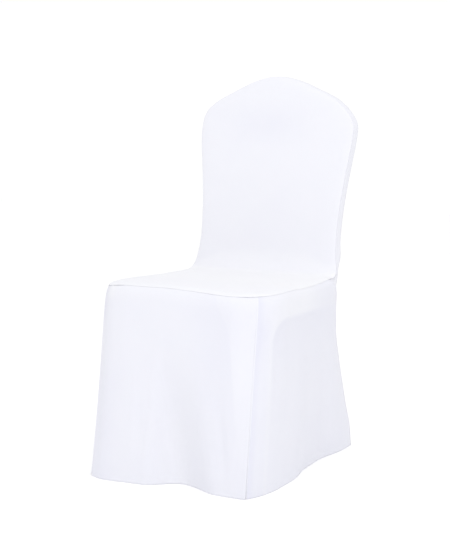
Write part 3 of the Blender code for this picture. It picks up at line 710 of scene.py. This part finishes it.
# %% Relief of the outside back
OUTSIDE_HEM_ROWS = 5
across, along = np.meshgrid(across_stops(), outside_stops())
outside_grid = outside_back(across, along)
from_left = run_along(outside_grid, 1)
from_right = from_left[:, -1:] - from_left
from_crown = run_along(outside_grid, 0)
relief = seam_relief(from_left, from_crown) + seam_relief(from_right, from_crown + 0.4)
relief += seam_relief(from_crown, from_left)
swells = np.sin(outside_grid[..., 0] / 0.045 + 0.5) * np.sin(outside_grid[..., 2] / 0.09 + 1.1)
relief += 0.0007 * swells * rolled(np.minimum(from_left, from_right), 0.03) * rolled(from_crown, 0.03)
outside_grid = lifted(outside_grid, relief)
OUTSIDE_MARGINS = {"crown": np.s_[:10, :], "left": np.s_[10:-8, :10], "right": np.s_[10:-8, -10:]}
outside_turnings = seam_turnings("outside_turning", outside_grid, OUTSIDE_MARGINS, outside_cloth)
outside_grid = turned_hem(outside_grid[::-1, ::-1], OUTSIDE_HEM_ROWS)[::-1, ::-1]
hem_edge = -(OUTSIDE_HEM_ROWS + len(HEM_BEND) + 1)
# The outside back gets an even middle value of painted light and shade.
outside_piece = cloth_piece("outside_back_cloth", outside_grid, outside_cloth, hem_edge, backing_and_painted_light=0.50)

# %% [markdown]
# ## Boxing
# The strip gives the back its thickness. It runs from a point below the seat seam, up the side,
# over the crown and down again. It follows the edges of both panels, tucked in by the cloth, and
# each end goes on behind the skirt as a small flange, so that no seam shows as a hole.

# %% Shape of the boxing
def boxing_edges():
    """Rear and front edge of the right half, row by row from the crown's middle to the lower end."""
    columns = across_stops()[PANEL_COLUMNS // 2:]
    level = np.ones(len(columns))
    rows = seat_stops()[::-1][:BACK_ROWS + TURN_ROWS + 1]
    front_crown = seat_and_back(columns, level) + (0.0, TUCK, 0.0)
    side = np.ones(len(rows))
    front_side = seat_and_back(side, rows)
    ahead = seat_and_back(side, rows - SLOPE_STEP) - seat_and_back(side, rows + SLOPE_STEP)
    ahead /= np.linalg.norm(ahead[:, 1:], axis=1, keepdims=True)
    tuck = TUCK + TURN_TUCK * bell((front_side[:, 1] - TURN_UP[1][1]) / TURN_TUCK_REACH)
    front_side[:, 1] -= tuck * ahead[:, 2]
    front_side[:, 2] += tuck * ahead[:, 1]
    gusset = np.array(GUSSET)
    front_side[-1] = gusset[0] + (0.0, 2.0 * BUTT_GAP, 0.0)
    end = gusset[:-1]
    seam = spline(shares(end), end, np.linspace(0.0, 1.0, GUSSET_ROWS + 1)[1:])
    front = np.concatenate([front_crown, front_side[1:], seam + (0.0, BUTT_GAP, BUTT_GAP)])
    rear_rows = outside_stops()[:BACK_ROWS + TURN_ROWS + GUSSET_ROWS + 1]
    rear_side = outside_back(np.ones(len(rear_rows)), rear_rows)
    rear = np.concatenate([outside_back(columns, 0.0 * level), rear_side[1:]]) - (0.0, TUCK, 0.0)
    return rear, front


BOXING_END = ((0.0020, 0.0020), (0.0024, 0.0080))  # inwards, down behind the skirt
rear_edge, front_edge = boxing_edges()
share = graded(12, 0.6)[None, :, None]
half_strip = rear_edge[:, None] + (front_edge - rear_edge)[:, None] * share
boxing_grid = np.concatenate([half_strip[:0:-1] * (-1.0, 1.0, 1.0), half_strip])
from_rear = run_along(boxing_grid, 1)
from_front = from_rear[:, -1:] - from_rear
run = run_along(boxing_grid, 0)
relief = 0.0008 * rolled(np.minimum(from_rear, from_front), 0.006)
for distance, start in ((from_rear, 0.0), (from_front, 0.5)):
    relief += seam_relief(distance, run + start, depth=0.0004, pucker=0.00020)
boxing_grid = lifted(boxing_grid, relief)
under_left, under_right = [
    [boxing_grid[end] + (side * inwards, 0.0, -down) for inwards, down in BOXING_END]
    for end, side in ((0, 1), (-1, -1))]
boxing_grid = np.concatenate([under_left[::-1], boxing_grid, under_right])
# The boxing gets an even value of painted light and shade, a little darker than the back's face.
boxing_piece = cloth_piece("boxing_cloth", boxing_grid, boxing_cloth, backing_and_painted_light=0.55)

# %% [markdown]
# ## Skirt
# One strip hangs from the seat seam. It swells out over the seat's edge, drops to the floor in a
# few folds, sinks in a little under the rail and behind the leg, and at each front corner it is
# folded back and forth behind itself as an inverted pleat. The pleat is real folded cloth, so its
# slot shades by itself, and painted shade beside the slot deepens it. Its two edges touch in the upper half
# and part towards the hem.

# %% Tables of the skirt
FRONT_HEM = (  # x, y, height above the hem's level
    (-0.2175, -0.2432, 0.0000), (-0.1880, -0.2530, 0.0000), (-0.1615, -0.2535, 0.0002),
    (-0.1170, -0.2480, 0.0006), (-0.0600, -0.2415, 0.0008), (0.0060, -0.2360, 0.0010),
    (0.0745, -0.2316, 0.0008), (0.1340, -0.2283, 0.0004), (0.1665, -0.2266, 0.0000),
    (0.1870, -0.2260, 0.0000))
RIGHT_HEM = (  # x, y
    (0.1915, -0.2125), (0.1975, -0.1950), (0.2055, -0.1700), (0.2110, -0.1380), (0.2105, -0.0950),
    (0.2040, -0.0120), (0.1870, 0.0560), (0.1790, 0.1250), (0.1760, 0.1700), (0.1775, 0.1980),
    (0.1830, 0.2400), (0.1850, 0.2850), (0.1820, 0.3280), (0.1810, 0.3411))
LEFT_HEM = (  # x, y
    (-0.2440, -0.2135), (-0.2530, -0.2030), (-0.2600, -0.1850), (-0.2615, -0.1460), (-0.2530, -0.0900),
    (-0.2390, -0.0120), (-0.2260, 0.0560), (-0.2140, 0.1250), (-0.2040, 0.1700), (-0.1980, 0.2000),
    (-0.1920, 0.2400), (-0.1870, 0.2850), (-0.1820, 0.3280), (-0.1810, 0.3411))
FRONT_FOLDS = (  # place at the top and at the hem, start, end, depth, half width left and right
    (0.460, 0.550, 0.18, 1.60, 0.044, 0.13, 0.20), (0.370, 0.395, 0.15, 0.95, 0.008, 0.07, 0.05),
    (0.440, 0.450, 0.10, 0.95, -0.004, 0.045, 0.045), (0.745, 0.800, 0.35, 1.00, 0.004, 0.04, 0.05))
SIDE_ROLL = 0.0035  # radius of the side panel's fold at a slot
SLOT_HALF = -0.0007  # below 0 the slot's edges overlap
SLOT_OPEN = 0.55  # share of the gap between the hems' ends
SLOT_PRESS = 0.0006  # how far the slot's edges press together at the seam
SLOT_CLOSE = 0.22  # share of the side panel that follows the slot's edge
SEAM_DROP = 0.0004
FLANGE = ((0.0010, 0.0022), (0.0030, 0.0034), (0.0070, 0.0042), (0.0110, 0.0046))  # inwards, down
SWELL, SWELL_ROLL, LEFT_SWELL_ROLL = 0.009, 0.008, 0.010
FALL_POWER = 1.1
ARCH_RADIUS = 0.055
ARCH_DEPTH = 0.0038
LEG_REAR_Y = -0.168
RAIL_UNDERSIDE = 0.396

# %% Hanging surface of one skirt panel
def slot_angle(side_edge, corner):
    """Angle round the corner where a panel's edge turns in: the pleat's, less the fold's own width."""
    pleat = PLEAT_ANGLE if corner > 0 else LEFT_PLEAT_ANGLE
    if side_edge:
        return pleat + (SIDE_ROLL + SLOT_HALF) / SEAT_CORNER_RADIUS
    return pleat - (CLOTH + 0.5 * LAYER_GAP[0] + SLOT_HALF) / SEAT_CORNER_RADIUS


def skirt_rows(panel):
    """Seam points and hem points of one panel, in order from the left rear round to the right rear."""
    if panel == "front":
        stops = np.linspace(0.0, 1.0, len(FRONT_HEM))
        seam = front_seam_point(stops, slot_angle(False, -1), slot_angle(False, 1))
        return seam - (0.0, 0.0, SEAM_DROP), np.array(FRONT_HEM) + (0.0, 0.0, HEM_CLEARANCE)
    side = 1 if panel == "right" else -1
    rows = side_seam_rows(side, slot_angle(True, side)) + [(side * half, y, z) for half, y, z in GUSSET]
    seam = np.array(rows)
    seam[:, 2] -= SEAM_DROP * (seam[:, 1] < GUSSET[0][1])
    plan = np.array(RIGHT_HEM if side > 0 else LEFT_HEM)
    hem = np.column_stack([plan, np.full(len(plan), HEM_CLEARANCE)])
    return (seam, hem) if side > 0 else (seam[::-1], hem[::-1])


def from_arch(point):
    """Distance behind the leg and below the rail, and from the centre of the arch's rounded corner."""
    from_leg = point[..., 1] - LEG_REAR_Y
    from_rail = RAIL_UNDERSIDE - point[..., 2]
    corner = np.hypot(np.maximum(ARCH_RADIUS - from_leg, 0.0), np.maximum(ARCH_RADIUS - from_rail, 0.0))
    return from_leg, from_rail, corner


def hanging(panel, t, h):
    """A nearly straight fall from seam to hem, plus the swell under the seam, less folds and arch.

    Beside a slot the side panel's edge falls with the front panel's, and parts from it with the
    cube of the share of the way down, so that the pleat opens only near the hem. The rear end is
    moved onto the outside back's edge.
    """
    seam_rows, hem_rows = skirt_rows(panel)
    knots = shares(seam_rows)
    seam = spline(knots, seam_rows, t)
    ahead = spline(knots, seam_rows, t + SLOPE_STEP) - spline(knots, seam_rows, t - SLOPE_STEP)
    outward = unit(np.stack([ahead[..., 1], -ahead[..., 0], np.zeros_like(t)], axis=-1))
    hem = spline(knots, hem_rows, t)
    fall = h ** FALL_POWER
    point = seam + (hem - seam) * np.stack([fall, fall, h], axis=-1)
    from_left_slot = t if panel == "front" else 1.0 - t if panel == "left" else np.ones_like(t)
    rounding = SWELL_ROLL + LEFT_SWELL_ROLL * ease(1.0 - from_left_slot / 0.13)
    swell = SWELL * rolled(seam[..., 2] - point[..., 2], rounding) * (1.0 - h)
    inward = np.zeros_like(h)
    if panel == "front":
        for top, low, start, end, depth, left, right in FRONT_FOLDS:
            offset = t - (top + (low - top) * h)
            grown = ease((h - start) / (1.0 - start)) * ease((end - h) / 0.3)
            inward = inward + depth * bell(offset / np.where(offset < 0.0, left, right)) * grown
        return point + outward * (swell - inward)[..., None]
    end = t if panel == "right" else 1.0 - t
    side = 1.0 if panel == "right" else -1.0
    front_seam, front_hem = (rows[-1 if side > 0 else 0] for rows in skirt_rows("front"))
    parting = (hem - seam - (front_hem - front_seam)) * (1.0, 1.0, 0.0)
    point = point + parting * ((SLOT_OPEN * h ** 3 - fall) * ease(1.0 - end / SLOT_CLOSE))[..., None]
    swell = swell * ease((1.0 - end) / 0.10)
    corner = from_arch(point)[2]
    inward = ARCH_DEPTH * ease((ARCH_RADIUS - corner) / 0.023) * (1.0 - h) * ease((0.78 - end) / 0.3)
    half, y = outside_edge_at(point[..., 2])
    rear_edge = np.stack([side * half, y - TUCK, point[..., 2]], axis=-1)
    edge_seam, edge_hem = (seam_rows[-1], hem_rows[-1]) if side > 0 else (seam_rows[0], hem_rows[0])
    edge = edge_seam + (edge_hem - edge_seam) * np.stack([fall, fall, h], axis=-1)
    joined = ease((end - 0.55) / 0.45) * ease(h / 0.02)
    point = point + (rear_edge - edge) * (1.0, 1.0, 0.0) * joined[..., None]
    return point + outward * (swell - inward)[..., None]


def hung_layer(panel, t, h, along, depth, step=0.002):
    """A point at a distance along its panel and a depth behind it, both in the panel's own frame."""
    ahead = unit(hanging(panel, t + step, h) - hanging(panel, t - step, h))
    high = np.maximum(h - step, 0.0)
    down = hanging(panel, t, high + 2.0 * step) - hanging(panel, t, high)
    outward = unit(np.cross(down, ahead))
    return hanging(panel, t, h) + ahead * along[..., None] - outward * depth[..., None]

# %% Path of the skirt round its pleats
SIDE_COLUMNS, FRONT_COLUMNS = 82, 124
FOLD_STEPS, LAYER_STEPS, INNER_STEPS = 8, 9, 6
PANELS = ("left", "front", "right")


def skirt_columns():
    """Each column's panel, place along it, and parts of fold radius, roll, inner gap and layer depth."""
    columns = []
    depth_share = {name: PLEAT_DEPTH / length_of(skirt_rows(name)[0]) for name in PANELS}

    def run(panel, stops, convex, concave):
        for t in stops:
            columns.append((panel, t, 0.0, 0.0, 0.0, convex, concave))

    def turn(panel, t, steps, fold, roll, inner, convex, concave, convex_turn, concave_turn):
        """A half circle: it bulges by the sine and goes on by half of 1 minus the cosine."""
        for k in range(1, steps):
            bulge = math.sin(math.pi * k / steps)
            share = 0.5 * (1.0 - math.cos(math.pi * k / steps))
            columns.append((panel, t, fold * bulge, roll * bulge, inner * bulge,
                            convex + convex_turn * share, concave + concave_turn * share))

    def pleat_in(panel, edge, way):
        """Round the fold, back behind the panel, round the inner fold and out to the underlay's middle."""
        back = edge - way * depth_share[panel]
        fold, roll = (way, 0.0) if panel == "front" else (0.0, way)
        turn(panel, edge, FOLD_STEPS, fold, roll, 0.0, 0.0, 0.0, 1.0, 0.0)
        run(panel, np.linspace(edge, back, LAYER_STEPS), 1.0, 0.0)
        turn(panel, back, INNER_STEPS, 0.0, 0.0, -way, 1.0, 0.0, 0.0, 1.0)
        run(panel, np.linspace(back, edge, LAYER_STEPS), 1.0, 1.0)

    def pleat_out(panel, edge, way):
        """The same path the other way round."""
        start = len(columns)
        pleat_in(panel, edge, way)
        columns[start:] = columns[start:][::-1]

    run("left", graded(SIDE_COLUMNS, 0.5), 0.0, 0.0)
    pleat_in("left", 1.0, 1.0)
    pleat_out("front", 0.0, -1.0)
    run("front", graded(FRONT_COLUMNS, 0.6), 0.0, 0.0)
    pleat_in("front", 1.0, 1.0)
    pleat_out("right", 0.0, -1.0)
    run("right", graded(SIDE_COLUMNS, 0.5), 0.0, 0.0)
    return columns


columns = skirt_columns()
print("skirt columns", len(columns))

# %% Skirt surface
numbers = np.array([row[1:] for row in columns])
names = np.array([row[0] for row in columns])
h = skirt_stops()[:, None] * np.ones(len(columns))
t, fold, roll, inner, convex, concave = [np.broadcast_to(numbers[:, k], h.shape) for k in range(6)]
gap = LAYER_GAP[0] + (LAYER_GAP[1] - LAYER_GAP[0]) * h
fold_radius = CLOTH + 0.5 * gap
pressed = SLOT_PRESS * (1.0 - h) * (1.0 + ease((0.30 - h) / 0.28)) * rolled(h, 0.01)
sideways = fold * (fold_radius + pressed) + roll * (SIDE_ROLL + pressed) + inner * 0.5 * gap
depth = convex * 2.0 * fold_radius + concave * gap
on_panel = {panel: np.broadcast_to(names == panel, h.shape) for panel in PANELS}
skirt_grid = np.zeros(h.shape + (3,))
for panel in PANELS:
    here = on_panel[panel]
    skirt_grid[here] = hung_layer(panel, t[here], h[here], sideways[here], depth[here])
print("skirt", [round(float(x), 3) for x in np.ptp(skirt_grid, axis=(0, 1))], "m across, deep and high")

# %% [markdown]
# ## Painted light and shade on the skirt
# The skirt is painted whitest over the rail. Painted shade darkens the arch below, the leg and the
# slots and their sides, where the lights alone leave it too pale. On the front, painted light whitens a
# flat facet beside the right pleat, and painted shade darkens the cloth left of it and at the left corner.
# The pleats' folded layers get an even middle value.

# %% Painted light and shade of the skirt
def side_painted_light(grid, end, h, near_seam):
    """Painted light and shade: the rail's value, less at the rear, with painted shade in the arch, down the
    leg, in the slot and beside its top.
    """
    from_leg, from_rail, corner = from_arch(grid)
    in_arch = ease((ARCH_RADIUS + 0.003 - corner) / 0.011) * ease((1.05 - end) / 0.25)
    arch = 0.25 + 0.12 * ease((0.16 - from_rail) / 0.14)
    rear = 0.24 * ease((end - 0.42) / 0.25)
    on_leg = ease((0.010 - from_leg) / 0.03) * ease((h - 0.05) / 0.15)
    in_slot = ease(1.0 - end / 0.045)
    beside_slot = ease(1.0 - end / 0.20) * near_seam
    return 0.67 - rear - (arch - rear) * in_arch - 0.30 * on_leg - 0.32 * in_slot - 0.30 * beside_slot


def front_painted_light(t, h, from_seam, near_seam):
    """Painted light and shade: the plain front's value, plus painted light on the facet, seam, dart and low
    fold, less painted shade at its left and middle.
    """
    facet_edge = 0.778 + 0.075 * ease(h / 0.20) + 0.045 * h
    on_facet = ease((t - facet_edge) / 0.010)
    by_facet = ease((t - 0.58) / 0.20) * (1.0 - on_facet) * (1.0 - 0.8 * h)
    at_seam = ease((0.045 - from_seam) / 0.03)
    on_dart = bell((t - 0.13) / 0.05) * ease((0.040 - from_seam) / 0.02)
    low_left = ease((0.30 - t) / 0.16) * ease((h - 0.30) / 0.25)
    left_strip = bell((t - 0.045) / 0.06) * ease((0.110 - from_seam) / 0.06) * ease(from_seam / 0.01)
    low_fold = bell((t - 0.53) / 0.12) * ease((h - 0.55) / 0.25)
    lighter = (0.12 - 0.22 * h - 0.18 * near_seam) * on_facet + 0.09 * at_seam + 0.20 * on_dart
    return 0.46 + lighter + 0.13 * low_fold - 0.20 * by_facet - 0.13 * low_left - 0.40 * left_strip


on_face = (convex == 0.0) & (concave == 0.0)
on_front = on_face & on_panel["front"]
from_seam = run_along(skirt_grid[::-1], 0)[::-1]
near_seam = ease((0.16 - from_seam) / 0.12)
end = np.where(on_panel["left"], 1.0 - t, t)
sides = np.where(on_face, side_painted_light(skirt_grid, end, h, near_seam), 0.5)
skirt_painted_light = np.where(on_front, front_painted_light(t, h, from_seam, near_seam), sides)
print("backing from", round(float(skirt_painted_light.min()), 2), "to", round(float(skirt_painted_light.max()), 2))

# %% Relief, hem and flange of the skirt
SKIRT_HEM_ROWS = 6
HEM_RIDGE, HEM_RIDGE_TOP = 0.0003, 0.015
round_run = run_along(skirt_grid, 1)[-1:, :] + np.zeros(h.shape)
relief = seam_relief(from_seam, round_run, depth=0.0002, pucker=0.00040, pitch=0.019)
relief += HEM_RIDGE * ease((HEM_RIDGE_TOP - run_along(skirt_grid, 0)) / 0.002)
skirt_grid = turned_hem(lifted(skirt_grid, relief * on_face), SKIRT_HEM_ROWS)
to_middle = unit((SEAT_MIDDLE - skirt_grid[-1]) * (1.0, 1.0, 0.0))
flange = [skirt_grid[-1] + to_middle * inwards - (0.0, 0.0, down) for inwards, down in FLANGE]
skirt_grid = np.concatenate([skirt_grid, flange])
painted_light_rows = [*range(SKIRT_HEM_ROWS)][::-1] + [0] * len(HEM_BEND) + [*range(len(h))] + [-1] * len(FLANGE)
skirt_piece = cloth_piece("skirt_cloth", skirt_grid, skirt_cloth, hem_row=SKIRT_HEM_ROWS + len(HEM_BEND),
                          backing_and_painted_light=skirt_painted_light[painted_light_rows])

# %% [markdown]
# ## What each sheet is
# Each sheet stands for one solid of the imported model, which is hidden, and it rides on the root
# body with its turnings. The table also gives whether a sheet is stretched or hung, and what it hangs from.

SHEETS = (
    (seat_piece, seat_grid, "back_seat_panel", "stretched", [], seat_turnings),
    (boxing_piece, boxing_grid, "back_boxing", "stretched", [seat_piece], []),
    (outside_piece, outside_grid, "outside_back", "hung", [boxing_piece], outside_turnings),
    (skirt_piece, skirt_grid, "skirt", "hung", [seat_piece], []),
)
for piece, grid, node, held, hangs_from, turnings in SHEETS:
    for turning in turnings:
        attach(turning, "root")
    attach(piece, "root")
    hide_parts(node)

# %% [markdown]
# ## Studio
# A white room lights white cloth from all sides, so its folds show only as faint greys. One large
# soft light from the front right, well above the seat, gives them direction.

# %% Floor and lights
FLOOR_HALF = 12.0
WORLD_STRENGTH = 1.02


def studio_floor():
    """One large flat square under the cover."""
    mesh = bpy.data.meshes.new("studio_floor")
    corners = [(x * FLOOR_HALF, y * FLOOR_HALF, 0.0) for x, y in ((-1, -1), (1, -1), (1, 1), (-1, 1))]
    mesh.from_pydata(corners, [], [(0, 1, 2, 3)])
    material = bpy.data.materials.new("pale_floor")
    material.use_nodes = True
    shader = material.node_tree.nodes["Principled BSDF"]
    shader.inputs["Base Color"].default_value = (0.995, 0.995, 0.995, 1.0)
    shader.inputs["Roughness"].default_value = 0.9
    mesh.materials.append(material)
    return placed("studio_floor", mesh)


def soft_light(name, azimuth, elevation, distance, size, watts):
    """A square light on a sphere round the seat, turned to face it."""
    data = bpy.data.lights.new(name, "AREA")
    data.shape = "SQUARE"
    data.size = size
    data.energy = watts
    light = placed(name, data)
    a, e = math.radians(azimuth), math.radians(elevation)
    out = distance * math.cos(e)
    light.location = (out * math.sin(a), -out * math.cos(a), SEAT_HEIGHT + distance * math.sin(e))
    light.rotation_euler = (math.radians(90.0) - e, 0.0, a)
    return light


studio_floor()
key_light = soft_light("key_light", azimuth=36.0, elevation=42.0, distance=3.2, size=2.2, watts=26.0)
world = bpy.data.worlds.new("white_room")
world.use_nodes = True
room = world.node_tree.nodes["Background"]
room.inputs["Color"].default_value = (1.0, 1.0, 1.0, 1.0)
room.inputs["Strength"].default_value = WORLD_STRENGTH
bpy.context.scene.world = world
bpy.context.scene.view_settings.view_transform = "Standard"
print("key light at", [round(x, 2) for x in key_light.location])
